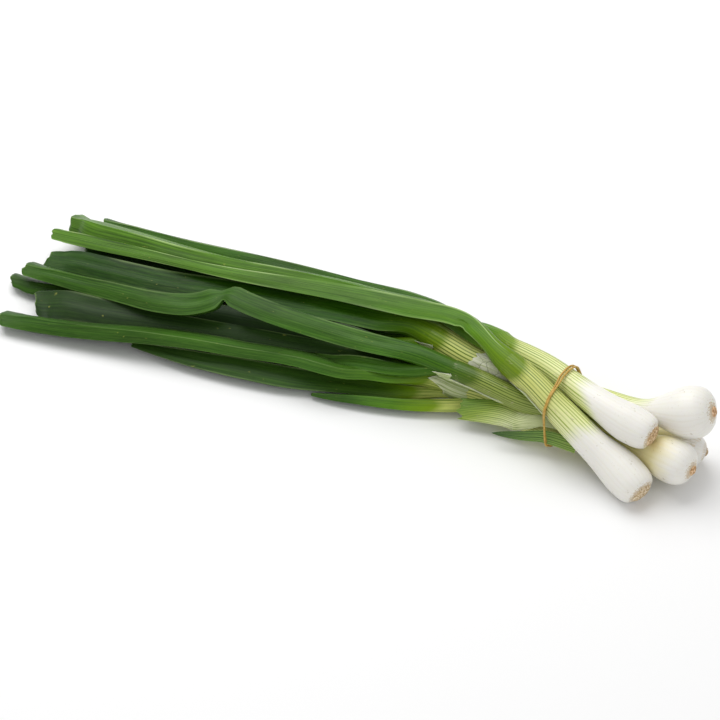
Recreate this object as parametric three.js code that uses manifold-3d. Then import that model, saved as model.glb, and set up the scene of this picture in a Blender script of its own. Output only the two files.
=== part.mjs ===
// A bunch of five spring onions, tied with one rubber band and lying on a table.
// Millimetres, +Z up, the bulbs towards +X and the leaves trailing towards -X.
// The origin is under the middle of the bunch, on the table.
import * as THREE from 'three';
import { mergeVertices } from 'three/addons/utils/BufferGeometryUtils.js';
import Module from 'manifold-3d';

const wasm = await Module();
wasm.setup();

// ---------------------------------------------------------------- driving dimensions
const GAP = 0.35; // clear space kept between neighbouring pieces
const SINK = 0.6; // how far the lowest pieces are pressed flat by the table
const TABLE = 800; // the stretch of table that presses them

const STEM_SIDES = 14;
const LEAF_SIDES = 10;
const BULB_STEP = 4; // spacing of the rings along a bulb
const STEM_STEP = 9; // along a stem
const LEAF_STEP = 13; // and along a leaf
const BULB_LENGTH = 28; // from the root plate to the neck
const BULB_HELD = 14; // the part of the bulb that the neighbours can't push aside

const SAMPLE = 4; // spacing of the points that settle against each other
const ROOT_DEPTH = 11; // how deep a leaf base sits in the mouth of its sheath
const ROOT_RADIUS = 3; // leaf base inside the sheath
const ROOT_SPREAD = 2.2; // distance of the leaf bases from the middle of the sheath
const LEAF_OPENS = 26; // past the mouth a leaf reaches its full width over this length
const LEAF_FLATNESS = 0.7; // thickness of a leaf over its width
const LEAF_WALL = 1; // wall of the hollow leaf at its cut end
const CUT_DEPTH = 18; // depth of the hollow seen in the cut end

const STRIP_STEP = 6; // spacing of the rows along a loose strip

const PLATE_DEPTH = 2.4; // root plate, from its face to the bulb

const BAND_NORMAL = new THREE.Vector3(0.988, -0.14, -0.073).normalize();
const BAND_THICKNESS = 1.7; // across the cord of the rubber band
const BAND_STEPS = 60;
const BAND_SIDES = 6;
const BAND_MIDDLE = new THREE.Vector3(0, 0, 22); // the layout is measured from here

// Each plant: the radius of its root plate, the middle line from the root plate to the
// mouth of the sheath, and the outline as [distance from the root plate, radius].
const ONIONS = {
  a: {
    plate: 6.3,
    route: [[54, -32, 8], [44, -26, 11], [34, -22, 15], [24, -20, 19], [11, -16, 25],
      [-3, -11, 30], [-17, -4, 34], [-31, 2, 37], [-38, 5, 38.5]],
    outline: [[4, 9.4], [12, 11.5], [20, 10.7], [31, 9.2], [44, 8.1], [66, 7.3], [92, 6.9],
      [104, 6.6]],
  },
  b: {
    plate: 6,
    route: [[51.5, -12, 32], [38, -10, 33], [26, -8, 36], [14, -3, 37], [1, 4, 36.5],
      [-16, 12, 36], [-36, 18, 35.5], [-49, 23, 34]],
    outline: [[4, 8.9], [13, 10.9], [21, 9.9], [33, 7.9], [44, 7.2], [56, 6.6], [82, 6.2],
      [100, 5.9]],
  },
  c: {
    plate: 4.6,
    route: [[77, 12, 41], [65, 9, 37], [54, 7, 34.5], [43, 7, 31], [32, 9, 28], [20, 11, 26],
      [12, 12, 25], [2, 12, 24], [-17, 10, 24], [-41, 9, 25], [-61, 15, 25], [-84, 21, 26]],
    outline: [[3, 9.5], [7, 13], [13, 14.5], [21, 12.5], [28, 8.8], [34, 6.4], [42, 5.8],
      [80, 6.3], [140, 6.3], [166, 6.2]],
  },
  d: {
    plate: 4.3,
    route: [[73.5, -13, 16], [62, -10, 17], [52, -8, 18], [41, -6, 18], [28, -5, 19],
      [14, -3, 20.5], [-2, -1, 20.5], [-14, -3, 21], [-24, -5, 22.5], [-35, -4, 25],
      [-48, -3, 27], [-68, -1, 28]],
    outline: [[3, 8], [11, 11.5], [20, 10], [28, 7.8], [38, 6.5], [76, 6.3], [125, 6.4],
      [144, 6.3]],
  },
  e: {
    plate: 4.3,
    route: [[75, 14, 8.5], [67, 11, 9], [55, 9, 9], [40, 4, 8.5], [24, -2, 7.5], [8, -8, 8.5],
      [-4, -9.5, 9.5], [-18, -6, 9], [-34, 2, 8.5], [-51, 5, 9.5], [-68, 1, 10]],
    outline: [[3, 7.4], [9, 9.5], [18, 8.2], [28, 6.6], [70, 6.2], [125, 6.3], [140, 6.3]],
  },
};

// Each leaf: the place of its base in the mouth as [back, up] on the unit circle, its
// half width along the length as [fraction, half width], how far the cut end is slanted,
// and the way that it lies, past the mouth.
const LEAVES = {
  a1: {
    plant: 'a', base: [-0.2, 0.4], root: 4.4, opens: 12, slant: 0.4,
    width: [[0, 5], [0.12, 6.2], [0.3, 5.8], [0.6, 4.2], [1, 3.8]],
    route: [[-52, 13, 41], [-68, 21, 41], [-95, 24, 38], [-141, 25, 34], [-180, 24, 30],
      [-210, 23, 27], [-255, 25, 22], [-335, 28, 14]],
  },
  a2: {
    plant: 'a', base: [1, -0.4], slant: 1.3,
    width: [[0, 5.6], [0.5, 6.6], [0.8, 7], [1, 8.2]],
    route: [[-58, 22, 34], [-87, 33, 31], [-123, 35, 29], [-187, 34, 26], [-215, 32, 24],
      [-252, 33, 21], [-324, 35, 15]],
  },
  b1: {
    plant: 'b', base: [0, 0.3], root: 3.8, opens: 14, slant: 1,
    width: [[0, 5], [0.5, 5.8], [1, 4.4]],
    route: [[-64, 31, 32], [-80, 38, 29], [-98, 42, 28], [-134, 44, 26], [-204, 44, 23],
      [-251, 45, 19], [-281, 48, 16], [-312, 51, 13]],
  },
  b2: {
    plant: 'b', base: [0, -1], slant: -0.6,
    width: [[0, 5], [0.6, 6], [1, 4.4]],
    route: [[-79, 43, 22], [-120, 48, 16], [-157, 43, 12], [-209, 35, 8], [-261, 29, 6],
      [-318, 25, 5]],
  },
  c1: {
    plant: 'c', base: [0, 0.3], root: 4.4, opens: 12, slant: -0.4,
    width: [[0, 6], [0.25, 7.4], [0.6, 8.4], [1, 9.2]],
    route: [[-100, 23, 26], [-141, 24, 25], [-199, 19, 18], [-251, 13, 13], [-324, 9, 9]],
  },
  c2: {
    plant: 'c', base: [0.3, -1], slant: 0.4,
    width: [[0, 5.4], [0.5, 6.2], [1, 5.6]],
    route: [[-100, 25, 19], [-130, 29, 13], [-171, 38, 5], [-232, 40, 3.5], [-320, 36, 3.5]],
  },
  c3: {
    plant: 'c', base: [-1, -0.6], slant: -0.3,
    width: [[0, 5], [0.5, 5.8], [1, 5.2]],
    route: [[-100, 16, 20], [-130, 13, 15], [-171, 11, 9], [-232, 7, 6], [-318, 4, 5]],
  },
  d1: {
    plant: 'd', base: [0, 0.3], root: 4.7, opens: 10, slant: 0.3, step: 8,
    width: [[0, 6], [0.2, 7.2], [0.6, 7.8], [1, 6.2]],
    route: [[-80, -2, 29.5], [-95, -3, 30], [-124, -5, 31], [-167, -5, 32], [-190, -4, 33.5],
      [-199, -3, 34], [-206, -7, 31], [-214, -10, 28], [-235, -14, 24], [-260, -13, 19],
      [-286, -11, 15], [-333, -9, 10]],
  },
  d2: {
    plant: 'd', base: [0, -1], slant: 0.6,
    width: [[0, 5.4], [0.6, 6.8], [1, 7.2]],
    route: [[-85, 2, 23], [-128, 5, 17], [-204, 4, 11], [-271, -5, 9], [-337, -13, 8]],
  },
  d3: {
    plant: 'd', base: [-1, -0.5], slant: 0.4,
    width: [[0, 5], [0.5, 5.6], [1, 4.6]],
    route: [[-86, -6, 22], [-128, -11, 13], [-190, -16, 7], [-240, -20, 5], [-296, -28, 5]],
  },
  e1: {
    plant: 'e', base: [-0.3, 0.4], root: 4.2, opens: 20, slant: 0.4,
    width: [[0, 4.6], [0.15, 5.4], [0.35, 7], [0.6, 7.6], [1, 6.6]],
    route: [[-94, -5, 12], [-138, -14, 15], [-184, -21, 14], [-236, -31, 12], [-289, -41, 8],
      [-325, -46, 6]],
  },
  e2: {
    plant: 'e', base: [0, -1], slant: 0, pointed: true,
    width: [[0, 5.6], [0.5, 7.4], [0.8, 6.6], [0.93, 4], [1, 1.6]],
    route: [[-87, -6, 7], [-137, -21, 6], [-197, -30, 6], [-248, -36, 6]],
  },
  e3: {
    plant: 'e', base: [-1, -0.4], early: 26, slant: 0, pointed: true,
    width: [[0, 4.2], [0.7, 4.4], [0.9, 3], [1, 1.2]],
    route: [[-56, -3, 7], [-70, -9, 6], [-87, -15, 5], [-105, -19, 5], [-138, -24, 4]],
  },
  e4: {
    plant: 'e', base: [1, 0.4], slant: -0.4,
    width: [[0, 5], [0.6, 6.4], [1, 7.6]],
    route: [[-94, -4, 17], [-153, -7, 16], [-214, -13, 12], [-276, -20, 9], [-313, -25, 8]],
  },
};

// Two loose strips are caught under the band: the torn base of an old leaf, whose left end
// is ragged, and a short young leaf with a pointed tip. turn rolls a strip about its length
// and cup curls its edges round.
const STRIPS = {
  torn_leaf_base: {
    route: [[6, -11, 19], [-7.5, -11, 18.5], [-21, -11.5, 15], [-34, -10, 14], [-53, -13, 12]],
    width: [[0, 2.4], [0.25, 2.8], [0.5, 6], [0.7, 6.6], [1, 5.6]],
    thickness: 1.2, turn: 0.75, cup: -1.6,
    ragged: [0, 4.5, 1.5, 6, 2, 4, 0.5, 3, 1],
    colour: '#9fb56a',
  },
  short_leaf: {
    route: [[12, -15, 10], [-4.4, -16.2, 12], [-18, -18, 10.5], [-33, -21, 10]],
    width: [[0, 4], [0.5, 4.2], [0.8, 3], [1, 0.7]],
    thickness: 1.2, turn: 1, cup: -1.6,
    ragged: [0, 0, 0, 0, 0, 0, 0],
    colour: '#4a7a30',
  },
};

// ---------------------------------------------------------------- small helpers
const vector = ([x, y, z]) => new THREE.Vector3(x, y, z);
const UP = new THREE.Vector3(0, 0, 1);

function finish(colour, roughness, metalness = 0) {
  return new THREE.MeshStandardMaterial({ color: colour, roughness, metalness });
}

// Straight-line reading of a list of [position, value] pairs.
function read(pairs, at) {
  const next = pairs.findIndex(([place]) => place >= at);
  if (next === 0) return pairs[0][1];
  if (next < 0) return pairs[pairs.length - 1][1];
  const [x0, y0] = pairs[next - 1];
  const [x1, y1] = pairs[next];
  return y0 + (y1 - y0) * (at - x0) / (x1 - x0);
}

const smooth = (t) => THREE.MathUtils.smoothstep(t, 0, 1);

// A closed three.js geometry as a solid for joining and cutting.
function solidOf(geometry) {
  const bare = geometry.clone();
  bare.deleteAttribute('normal');
  bare.deleteAttribute('uv');
  const merged = mergeVertices(bare, 1e-4);
  const corners = merged.index.array;
  const kept = [];
  for (let i = 0; i < corners.length; i += 3) {
    const [p, q, r] = corners.slice(i, i + 3);
    if (p !== q && q !== r && r !== p) kept.push(p, q, r);
  }
  return new wasm.Manifold(new wasm.Mesh({
    numProp: 3,
    vertProperties: new Float32Array(merged.attributes.position.array),
    triVerts: new Uint32Array(kept),
  }));
}

function geometryOf(solid) {
  const mesh = solid.getMesh();
  const geometry = new THREE.BufferGeometry();
  geometry.setAttribute('position', new THREE.BufferAttribute(mesh.vertProperties, 3));
  geometry.setIndex(new THREE.BufferAttribute(mesh.triVerts, 1));
  geometry.computeVertexNormals();
  return geometry;
}

// The largest body of a cut solid: what the cut leaves loose is dropped.
function largest(solid) {
  return solid.decompose().reduce((best, body) => (body.volume() > best.volume() ? body : best));
}

// ---------------------------------------------------------------- strands
// A strand is a bendy rod: points along its middle line, with the half width and the half
// thickness there and how freely each point can be pushed aside, from 0 to 1.
function strandOf(route, sizeAt, freeAt) {
  const curve = new THREE.CatmullRomCurve3(route, false, 'centripetal');
  curve.arcLengthDivisions = 600;
  const length = curve.getLength();
  const home = curve.getSpacedPoints(Math.round(length / SAMPLE));
  const spots = home.map((_, k) => k * length / (home.length - 1));
  return {
    length,
    sizeAt,
    home,
    points: home.map((point) => point.clone()),
    sizes: spots.map((spot) => sizeAt(spot, length)),
    free: spots.map((spot) => freeAt(spot, length)),
  };
}

const ROUNDS = 260;
const CLEARANCE = 2 * GAP; // strands settle a little further apart than the gap they need
const STIFFNESS = 0.35; // how much a pushed point takes its neighbours along
const SPRING_BACK = 0.012; // how fast it returns to where it was laid

// Pushes two strands apart, across the bunch and upwards, where they are too close.
function pushApart(one, other) {
  one.points.forEach((p, i) => {
    other.points.forEach((q, j) => {
      if (Math.abs(p.x - q.x) > 1.5 * SAMPLE) return;
      const wide = one.sizes[i][0] + other.sizes[j][0] + CLEARANCE;
      const thick = one.sizes[i][1] + other.sizes[j][1] + CLEARANCE;
      const away = new THREE.Vector3(0, q.y - p.y, q.z - p.z);
      const near = Math.hypot(Math.hypot(q.x - p.x, away.y) / wide, away.z / thick);
      const share = one.free[i] + other.free[j];
      if (near >= 1 || share === 0) return;
      away.set(0, away.y / wide ** 2, away.z / thick ** 2).normalize();
      const push = (1 - near) / Math.hypot(away.y / wide, away.z / thick) / 2;
      p.addScaledVector(away, -push * one.free[i] / share);
      q.addScaledVector(away, push * other.free[j] / share);
    });
  });
}

// Spreads each push along the strand, springs it back a little and keeps it off the table.
function relax(strand) {
  const moved = strand.points.map((point, k) => point.clone().sub(strand.home[k]));
  strand.points.forEach((point, k) => {
    const before = moved[Math.max(k - 1, 0)];
    const after = moved[Math.min(k + 1, moved.length - 1)];
    const mean = before.clone().add(after).multiplyScalar(0.5);
    const eased = moved[k].clone().lerp(mean, STIFFNESS).multiplyScalar(1 - SPRING_BACK);
    point.copy(strand.home[k]).addScaledVector(eased, Math.min(1, 4 * strand.free[k]));
    if (strand.free[k] > 0) point.z = Math.max(point.z, strand.sizes[k][1] - SINK);
  });
}

function settle(movers, fixed, areJoined) {
  for (let round = 0; round < ROUNDS; round++) {
    movers.forEach((one, i) => {
      movers.slice(i + 1).concat(fixed).forEach((other) => {
        if (!areJoined(one, other)) pushApart(one, other);
      });
    });
    movers.forEach(relax);
  }
  movers.forEach((strand) => {
    strand.curve = new THREE.CatmullRomCurve3(strand.points, false, 'centripetal');
    strand.curve.arcLengthDivisions = 1200;
    strand.length = strand.curve.getLength();
  });
}

// The cross-wise directions of a strand at a distance along it, with its top kept upwards.
function frameAt(strand, distance) {
  const along = THREE.MathUtils.clamp(distance / strand.length, 0, 1);
  const middle = strand.curve.getPointAt(along);
  const forward = strand.curve.getTangentAt(along);
  middle.addScaledVector(forward, distance - along * strand.length);
  const side = forward.clone().cross(UP).normalize();
  return { middle, forward, side, top: side.clone().cross(forward) };
}

// Bends a shape that stands on +Y so that its axis follows the strand. flatness(distance)
// is the thickness over the width, and turn rolls it about the strand.
function bend(geometry, strand, flatness = () => 1, turn = 0) {
  const place = geometry.attributes.position;
  for (let i = 0; i < place.count; i++) {
    const distance = place.getY(i);
    const { middle, side, top } = frameAt(strand, distance);
    const across = place.getX(i);
    const up = place.getZ(i) * flatness(distance);
    middle.addScaledVector(side, across * Math.cos(turn) - up * Math.sin(turn));
    middle.addScaledVector(top, across * Math.sin(turn) + up * Math.cos(turn));
    place.setXYZ(i, middle.x, middle.y, middle.z);
  }
  return geometry;
}

function stations(from, to, step) {
  const count = Math.max(1, Math.round((to - from) / step));
  return Array.from({ length: count + 1 }, (_, k) => from + (to - from) * k / count);
}

// ---------------------------------------------------------------- onions
const turnedFrom = (outline, sides) => new THREE.LatheGeometry(
  outline.map(([x, y]) => new THREE.Vector2(x, y)), sides);

const bulbShape = (onion) => new THREE.SplineCurve(
  onion.outline.map(([distance, radius]) => new THREE.Vector2(distance, radius)),
).getPoints(200).map((point) => [point.x, point.y]);

function onionStrand(onion) {
  const shape = bulbShape(onion);
  return strandOf(
    onion.route.map(vector),
    (distance) => [read(shape, distance), read(shape, distance)],
    (distance) => smooth((distance - BULB_HELD) / 24),
  );
}

// The bulb narrows into the stem, which ends in a rounded mouth.
function onionSolid(onion, strand, grow = 0) {
  const seat = onion.plate + 0.6 + grow;
  const end = strand.length;
  const radius = (distance) => strand.sizeAt(distance)[0] + grow;
  const rings = [
    ...stations(BULB_STEP, BULB_LENGTH, BULB_STEP),
    ...stations(BULB_LENGTH, end - 3, STEM_STEP).slice(1),
  ];
  const outline = [
    [0, PLATE_DEPTH + GAP - grow],
    [seat, PLATE_DEPTH + GAP - grow],
    ...rings.map((distance) => [radius(distance), distance]),
    [radius(end) * 0.86, end - 0.8],
    [radius(end) * 0.5, end + grow],
    [0, end + grow],
  ];
  return solidOf(bend(turnedFrom(outline, STEM_SIDES), strand));
}

// The root plate: a low dome at the foot of the bulb, knobbly with the stubs of the roots.
function rootPlateSolid(onion, strand) {
  const r = onion.plate;
  const rim = 1.5;
  const turned = turnedFrom([
    [0, 0.2], [r * 0.4, 0.3], [r * 0.75, 0.8], [r, rim], [r, PLATE_DEPTH], [0, PLATE_DEPTH],
  ], STEM_SIDES);
  const place = turned.attributes.position;
  for (let i = 0; i < place.count; i++) {
    if (place.getY(i) >= rim) continue;
    const knob = Math.sin(2.1 * place.getX(i)) * Math.sin(2.3 * place.getZ(i) + 1);
    place.setY(i, place.getY(i) - 0.2 * knob);
  }
  return solidOf(bend(turned, strand));
}

// ---------------------------------------------------------------- leaves
const opened = (leaf, distance) => smooth(
  (distance - ROOT_DEPTH - 2) / (leaf.opens ?? LEAF_OPENS));

const leafFlatness = (leaf, distance) => THREE.MathUtils.lerp(
  1, LEAF_FLATNESS, opened(leaf, distance));

function leafSize(leaf, distance, length) {
  const wide = read(leaf.width, distance / length);
  const half = THREE.MathUtils.lerp(leaf.root ?? ROOT_RADIUS, wide, opened(leaf, distance));
  return [half, half * leafFlatness(leaf, distance)];
}

// A leaf starts inside the mouth of its sheath and then follows its own route.
function leafStrand(leaf, stem) {
  const [back, up] = leaf.base;
  const early = leaf.early ?? 0;
  const sit = (distance) => {
    const { middle, side, top } = frameAt(stem, distance);
    middle.addScaledVector(side, back * ROOT_SPREAD);
    return middle.addScaledVector(top, up * ROOT_SPREAD);
  };
  const base = stem.length - early - ROOT_DEPTH;
  return strandOf(
    [sit(base), sit(base + ROOT_DEPTH + 3), ...leaf.route.map(vector)],
    (distance, length) => leafSize(leaf, distance, length),
    (distance) => smooth((distance - ROOT_DEPTH - 2) / 20),
  );
}

// A leaf is a flattened tube, with a hollow to be seen in its slanted cut end.
function leafSolid(leaf, strand, grow = 0) {
  const end = strand.length;
  const radius = (distance) => leafSize(leaf, distance, end)[0] + grow;
  const hollow = (distance) => radius(distance) - LEAF_WALL;
  const bottom = end - CUT_DEPTH;
  const outer = stations(1.5, end, leaf.step ?? LEAF_STEP);
  const outline = [
    [0, -grow],
    [radius(0) * 0.6, -grow],
    ...outer.map((distance) => [radius(distance), distance]),
    ...(grow || leaf.pointed ? [[0, end + grow]] : [
      [hollow(end), end],
      [hollow(bottom + 5), bottom + 5],
      [hollow(bottom) * 0.5, bottom],
      [0, bottom],
    ]),
  ];
  const turned = turnedFrom(outline, LEAF_SIDES);
  const place = turned.attributes.position;
  for (let i = 0; i < place.count; i++) {
    const cut = smooth((place.getY(i) - end + 2 * CUT_DEPTH) / (2 * CUT_DEPTH));
    place.setY(i, place.getY(i) + leaf.slant * place.getX(i) * cut);
  }
  return solidOf(bend(turned, strand, (distance) => leafFlatness(leaf, distance)));
}

// ---------------------------------------------------------------- strips and band
function stripStrand(strip) {
  const curve = new THREE.CatmullRomCurve3(strip.route.map(vector), false, 'centripetal');
  return { curve, length: curve.getLength() };
}

// The place across a strip, from side -1 to 1, on a face that is lift above its middle.
function stripSection(strip, strand, side, distance, lift, grow = 0) {
  const half = read(strip.width, distance / strand.length) + grow;
  return [side * half, lift + strip.cup * (side * half / 6) ** 2];
}

// A thin strip: a flat plate curled across its width, narrowed along its length and, where
// it is torn, with its end drawn out unevenly.
function stripSolid(strip, grow = 0) {
  const strand = stripStrand(strip);
  const across = strip.ragged.length - 1;
  const along = Math.round(strand.length / STRIP_STEP);
  const thick = strip.thickness + 2 * grow;
  const plate = new THREE.BoxGeometry(2, strand.length, thick, across, along, 1);
  const place = plate.attributes.position;
  for (let i = 0; i < place.count; i++) {
    const side = place.getX(i);
    const distance = place.getY(i) + strand.length / 2;
    const torn = strip.ragged[Math.round((side + 1) / 2 * across)];
    const drawn = smooth((distance / strand.length - 0.7) / 0.3) * torn;
    const [x, z] = stripSection(strip, strand, side, distance, place.getZ(i), grow);
    place.setXYZ(i, x, distance + drawn, z);
  }
  return solidOf(bend(plate, strand, () => 1, strip.turn));
}

// Where a strand crosses the plane of the band.
function crossingOf(strand, from, to) {
  const ahead = (distance) => frameAt(strand, distance).middle.sub(BAND_MIDDLE).dot(BAND_NORMAL);
  return stations(from, to, 1).find((distance) => ahead(distance) < 0);
}

// Points of a section of a strand, as [across, up] pairs, carried on to the plane of the band.
function sectionOnBand(strand, distance, pairs, turn = 0) {
  const { middle, forward, side, top } = frameAt(strand, distance);
  return pairs.map(([across, up]) => {
    const point = middle.clone()
      .addScaledVector(side, across * Math.cos(turn) - up * Math.sin(turn))
      .addScaledVector(top, across * Math.sin(turn) + up * Math.cos(turn));
    const off = BAND_MIDDLE.clone().sub(point).dot(BAND_NORMAL) / forward.dot(BAND_NORMAL);
    return point.addScaledVector(forward, off);
  });
}

function stemOnBand(strand, clear) {
  const distance = crossingOf(strand, BULB_LENGTH, strand.length);
  const radius = strand.sizeAt(distance)[0] + clear;
  const angles = stations(0, 2 * Math.PI, Math.PI / 12);
  return sectionOnBand(
    strand, distance, angles.map((angle) => [radius * Math.cos(angle), radius * Math.sin(angle)]));
}

function stripOnBand(strip, clear) {
  const strand = stripStrand(strip);
  const distance = crossingOf(strand, 0, strand.length);
  const reach = strip.thickness / 2 + clear;
  const corners = [-1, -0.5, 0, 0.5, 1].flatMap((side) => [
    stripSection(strip, strand, side, distance, reach, clear),
    stripSection(strip, strand, side, distance, -reach, clear),
  ]);
  return sectionOnBand(strand, distance, corners, strip.turn);
}

// The tight loop round a set of points of the plane (u, v): their convex hull.
function hullOf(points) {
  const sorted = [...points].sort((p, q) => p.x - q.x || p.y - q.y);
  const turnsRight = (o, p, q) => (p.x - o.x) * (q.y - o.y) - (p.y - o.y) * (q.x - o.x) <= 0;
  const chain = (list) => list.reduce((kept, point) => {
    while (kept.length > 1 && turnsRight(kept.at(-2), kept.at(-1), point)) kept.pop();
    return [...kept, point];
  }, []);
  return [...chain(sorted).slice(0, -1), ...chain(sorted.reverse()).slice(0, -1)];
}

// The rubber band runs straight from stem to stem round the five of them.
function bandSolid(strands, strips) {
  const u = UP.clone().cross(BAND_NORMAL).normalize();
  const v = BAND_NORMAL.clone().cross(u);
  const clear = GAP + BAND_THICKNESS / 2;
  const outline = [
    ...strands.flatMap((strand) => stemOnBand(strand, clear)),
    ...strips.flatMap((strip) => stripOnBand(strip, clear)),
  ];
  const flat = outline.map((point) => {
    const from = point.clone().sub(BAND_MIDDLE);
    return new THREE.Vector2(from.dot(u), from.dot(v));
  });
  const loop = new THREE.CurvePath();
  const hull = hullOf(flat);
  hull.forEach((point, k) => loop.add(new THREE.LineCurve(point, hull[(k + 1) % hull.length])));
  const spots = loop.getSpacedPoints(BAND_STEPS).slice(0, BAND_STEPS);
  const drawn = 10; // the radius that the ring is first drawn with
  const ring = new THREE.TorusGeometry(drawn, BAND_THICKNESS / 2, BAND_SIDES, BAND_STEPS);
  const place = ring.attributes.position;
  for (let i = 0; i < place.count; i++) {
    const turn = Math.atan2(place.getY(i), place.getX(i)) / (2 * Math.PI);
    const spot = Math.round((turn + 1) * BAND_STEPS) % BAND_STEPS;
    const outward = Math.hypot(place.getX(i), place.getY(i)) - drawn;
    const here = spots[spot];
    const chord = spots[(spot + 1) % BAND_STEPS].clone().sub(spots.at(spot - 1));
    const away = new THREE.Vector2(chord.y, -chord.x).normalize();
    const point = BAND_MIDDLE.clone()
      .addScaledVector(u, here.x + away.x * outward)
      .addScaledVector(v, here.y + away.y * outward)
      .addScaledVector(BAND_NORMAL, place.getZ(i));
    place.setXYZ(i, point.x, point.y, point.z);
  }
  return solidOf(ring);
}

// ---------------------------------------------------------------- assembly
const stems = Object.fromEntries(
  Object.entries(ONIONS).map(([key, onion]) => [key, onionStrand(onion)]));
settle(Object.values(stems), [], () => false);

const leaves = Object.fromEntries(
  Object.entries(LEAVES).map(([key, leaf]) => [key, leafStrand(leaf, stems[leaf.plant])]));
const stemOf = new Map(
  Object.entries(LEAVES).map(([key, leaf]) => [leaves[key], stems[leaf.plant]]));
settle(Object.values(leaves), Object.values(stems), (leaf, other) => stemOf.get(leaf) === other);

const pieces = [];
for (const [key, onion] of Object.entries(ONIONS)) {
  pieces.push({
    name: `onion_${key}`,
    solid: onionSolid(onion, stems[key]),
    grown: onionSolid(onion, stems[key], GAP),
    material: finish('#e9ecd2', 0.35),
  });
  pieces.push({
    name: `root_plate_${key}`,
    solid: rootPlateSolid(onion, stems[key]),
    material: finish('#a98a62', 0.9),
  });
}
for (const [key, leaf] of Object.entries(LEAVES)) {
  pieces.push({
    name: `leaf_${key}`,
    plant: `onion_${leaf.plant}`,
    solid: leafSolid(leaf, leaves[key]),
    grown: leafSolid(leaf, leaves[key], GAP),
    material: finish('#4f7d33', 0.45),
  });
}

for (const [key, strip] of Object.entries(STRIPS)) {
  pieces.push({
    name: key,
    solid: stripSolid(strip),
    grown: stripSolid(strip, GAP),
    material: finish(strip.colour, 0.6),
  });
}
const band = bandSolid(Object.values(stems), Object.values(STRIPS));
pieces.push({ name: 'rubber_band', solid: band, material: finish('#c58a45', 0.6) });

// Sheaths are hollowed for their own leaves, and otherwise the later piece gives way.
pieces.forEach((piece, i) => {
  pieces.slice(i + 1).forEach((later) => {
    if (!piece.grown || !later.grown) return;
    const [soft, hard] = later.plant === piece.name ? [piece, later] : [later, piece];
    const cut = soft.solid.subtract(hard.grown);
    if (soft.solid.volume() - cut.volume() < 0.01) return;
    soft.solid = largest(cut);
  });
});

// The table presses flat what would reach below it.
const table = solidOf(new THREE.BoxGeometry(TABLE, TABLE, 10).translate(0, 0, -5));
for (const piece of pieces) piece.solid = largest(piece.solid.subtract(table));

const bunch = new THREE.Group();
for (const { name, solid, material } of pieces) {
  const mesh = new THREE.Mesh(geometryOf(solid), material);
  mesh.name = name;
  bunch.add(mesh);
}
const middle = new THREE.Box3().setFromObject(bunch).getCenter(new THREE.Vector3());
bunch.position.set(-middle.x, -middle.y, 0);
export default bunch;
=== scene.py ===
# %% [markdown]
# # A bunch of spring onions, tied with a rubber band
# Five plants lie crossed on a table. Each has a white bulb with a dry root plate, a stem that is
# a roll of leaf sheaths, and hollow green leaves that come out of the mouth of the stem. The
# imported model gives the place and the thickness of every piece. This lesson measures it and
# models finer pieces on the same middle lines: relief, cut ends, skins, root plates and colour.

# %% Load the frame
import math

import bpy
import numpy as np
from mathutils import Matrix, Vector, noise


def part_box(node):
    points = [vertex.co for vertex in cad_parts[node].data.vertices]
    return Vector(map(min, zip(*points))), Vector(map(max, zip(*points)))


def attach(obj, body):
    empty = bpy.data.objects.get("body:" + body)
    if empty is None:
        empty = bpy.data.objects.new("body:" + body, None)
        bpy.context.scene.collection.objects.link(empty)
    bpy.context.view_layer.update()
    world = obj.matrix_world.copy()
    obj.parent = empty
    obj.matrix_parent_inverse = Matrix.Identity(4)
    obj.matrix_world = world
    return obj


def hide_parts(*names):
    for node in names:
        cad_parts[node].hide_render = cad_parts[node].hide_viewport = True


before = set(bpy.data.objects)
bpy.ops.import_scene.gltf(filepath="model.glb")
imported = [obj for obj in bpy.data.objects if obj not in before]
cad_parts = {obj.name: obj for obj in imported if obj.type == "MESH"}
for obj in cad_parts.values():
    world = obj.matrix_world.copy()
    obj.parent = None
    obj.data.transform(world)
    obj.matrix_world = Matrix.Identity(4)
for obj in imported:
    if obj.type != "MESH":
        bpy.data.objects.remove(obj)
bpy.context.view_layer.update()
MM = 0.001  # the lesson thinks in millimetres, Blender in metres

# %% [markdown]
# ## The camera
# The bunch is seen from the front right and from well above, at about 40 degrees, with a long
# lens from a metre away. The camera is placed from the rubber band, which sits right of centre,
# so that later pieces can be judged from the real viewing angle.

# %% Camera
VIEW_TURN = math.radians(25)
VIEW_HEIGHT = math.radians(40)
VIEW_DISTANCE = 950
LENS = 90
BAND_RIGHT_OF_CENTRE = 108.7
BAND_BELOW_CENTRE = 25.3
AIM_SHIFT = np.array([0.37, 0.43, -1.05])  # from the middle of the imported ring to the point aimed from


def added(name, data):
    """A new object in the scene that shows the data."""
    piece = bpy.data.objects.new(name, data)
    bpy.context.collection.objects.link(piece)
    return piece


def box_of(node):
    low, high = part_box(node)
    return np.array(low) / MM, np.array(high) / MM


band_low, band_high = box_of("rubber_band")
band_middle = (band_low + band_high) / 2 + AIM_SHIFT
back = np.array([
    math.sin(VIEW_TURN) * math.cos(VIEW_HEIGHT),
    -math.cos(VIEW_TURN) * math.cos(VIEW_HEIGHT),
    math.sin(VIEW_HEIGHT),
])
right = np.array([math.cos(VIEW_TURN), math.sin(VIEW_TURN), 0])
upward = np.cross(back, right)
eye = band_middle + back * VIEW_DISTANCE - right * BAND_RIGHT_OF_CENTRE + upward * BAND_BELOW_CENTRE

camera = added("camera", bpy.data.cameras.new("camera"))
camera.location = Vector(eye * MM)
camera.rotation_euler = Vector(-back).to_track_quat("-Z", "Y").to_euler()
camera.data.lens = LENS
camera.data.clip_start = 0.01
bpy.context.scene.camera = camera
print("camera at", [round(x, 3) for x in camera.location])

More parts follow.
